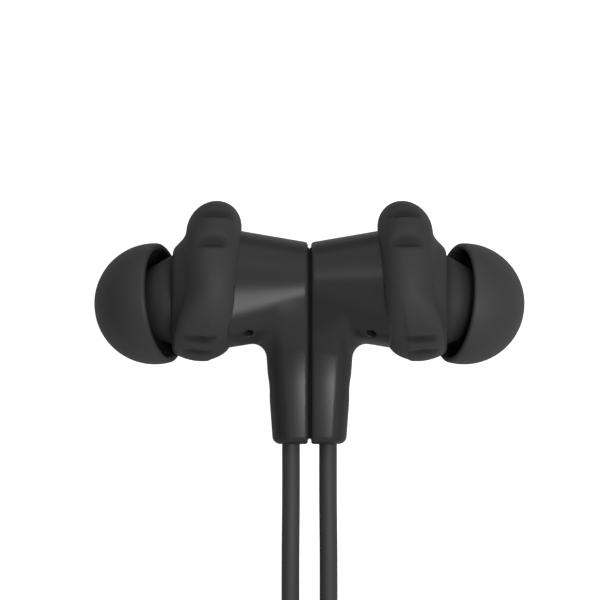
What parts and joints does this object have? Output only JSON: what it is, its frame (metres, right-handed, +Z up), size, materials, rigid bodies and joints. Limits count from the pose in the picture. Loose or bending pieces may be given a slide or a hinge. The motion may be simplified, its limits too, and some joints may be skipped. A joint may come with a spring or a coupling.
{
  "type": "neckband earphones",
  "caption": "Neckband earphones lying flat: a sprung neck arch with two pods, and two corded in-ear buds docked back to back by magnets.",
  "frame": {"origin": "middle of the set, without its cords, on the surface it lies on", "axes": "+Y towards the back of the neck arch, +X towards the wearer's right bud, +Z up from the surface"},
  "size_m": [0.1244, 0.2303, 0.0178],
  "materials": {
    "band_silicone": "matte",
    "bud_silicone": "matte",
    "cord_jacket": "satin",
    "casing": "satin",
    "buttons": "satin",
    "marker": "satin",
    "circuit_board": "satin",
    "driver_cup": "satin",
    "battery_pouch": "satin",
    "light_pipe": "gloss",
    "mesh": "woven",
    "steel": "satin"
  },
  "bodies": {
    "band": {"band_sleeve": "band_silicone", "band_core": "steel", "band_grip": "band_silicone"},
    "left_arm": {"left_arm_sleeve": "band_silicone", "left_arm_core": "steel", "left_pod_upper": "casing", "left_pod_lower": "casing", "left_pod_screws": "steel", "left_cord_gland": "cord_jacket", "battery": "battery_pouch", "power_board": "circuit_board", "charge_port": "steel", "vibration_motor": "steel", "status_light": "light_pipe", "power_switch": "steel", "left_cord": "cord_jacket"},
    "right_arm": {"right_arm_sleeve": "band_silicone", "right_arm_core": "steel", "right_pod_upper": "casing", "right_pod_lower": "casing", "right_pod_screws": "steel", "right_cord_gland": "cord_jacket", "main_board": "circuit_board", "key_switches": "steel", "radio_shield": "steel", "microphone_mesh": "mesh", "right_cord": "cord_jacket"},
    "left_bud": {"left_bud_shell": "casing", "left_dock_plate": "casing", "left_magnet": "steel", "left_driver": "driver_cup", "left_front_housing": "casing", "left_nozzle_mesh": "mesh", "left_vent_mesh": "mesh", "left_side_marker": "marker", "left_stem_grommet": "cord_jacket", "left_ear_fin": "bud_silicone"},
    "right_bud": {"right_bud_shell": "casing", "right_dock_plate": "casing", "right_magnet": "steel", "right_driver": "driver_cup", "right_front_housing": "casing", "right_nozzle_mesh": "mesh", "right_vent_mesh": "mesh", "right_side_marker": "marker", "right_stem_grommet": "cord_jacket", "right_ear_fin": "bud_silicone"},
    "left_tip": {"left_ear_tip": "bud_silicone"},
    "right_tip": {"right_ear_tip": "bud_silicone"},
    "power_key": {"power_key": "buttons"},
    "port_flap": {"port_flap": "cord_jacket"},
    "volume_up_key": {"volume_up_key": "buttons"},
    "play_key": {"play_key": "buttons"},
    "volume_down_key": {"volume_down_key": "buttons"}
  },
  "joints": [
    {"name": "left_arm_flex", "type": "hinge", "parent": "band", "child": "left_arm", "pos_m": [-0.05196, 0.0558, 0.004], "axis": [0, 0, -1], "range_deg": [0, 20], "stiffness_Nm_per_rad": 0.25},
    {"name": "right_arm_flex", "type": "hinge", "parent": "band", "child": "right_arm", "pos_m": [0.05196, 0.0558, 0.004], "axis": [0, 0, 1], "range_deg": [0, 20], "stiffness_Nm_per_rad": 0.25},
    {"name": "left_bud_undock", "type": "slide", "parent": "left_arm", "child": "left_bud", "axis": [-1, 0, 0], "range_m": [0, 0.018]},
    {"name": "right_bud_undock", "type": "slide", "parent": "right_arm", "child": "right_bud", "axis": [1, 0, 0], "range_m": [0, 0.018]},
    {"name": "left_tip_pull", "type": "slide", "parent": "left_bud", "child": "left_tip", "axis": [-0.9422, 0.0076, -0.3349], "range_m": [0, 0.006]},
    {"name": "right_tip_pull", "type": "slide", "parent": "right_bud", "child": "right_tip", "axis": [0.9422, 0.0076, -0.3349], "range_m": [0, 0.006]},
    {"name": "power_key_press", "type": "slide", "parent": "left_arm", "child": "power_key", "axis": [0, 0, -1], "range_m": [0, 0.0004], "stiffness_N_per_m": 2500},
    {"name": "volume_up_press", "type": "slide", "parent": "right_arm", "child": "volume_up_key", "axis": [0, 0, -1], "range_m": [0, 0.0004], "stiffness_N_per_m": 2500},
    {"name": "play_press", "type": "slide", "parent": "right_arm", "child": "play_key", "axis": [0, 0, -1], "range_m": [0, 0.0004], "stiffness_N_per_m": 2500},
    {"name": "volume_down_press", "type": "slide", "parent": "right_arm", "child": "volume_down_key", "axis": [0, 0, -1], "range_m": [0, 0.0004], "stiffness_N_per_m": 2500},
    {"name": "port_flap_hinge", "type": "hinge", "parent": "left_arm", "child": "port_flap", "pos_m": [-0.06019, -0.04956, 0.0052], "axis": [0, 0, -1], "range_deg": [0, 90]}
  ]
}
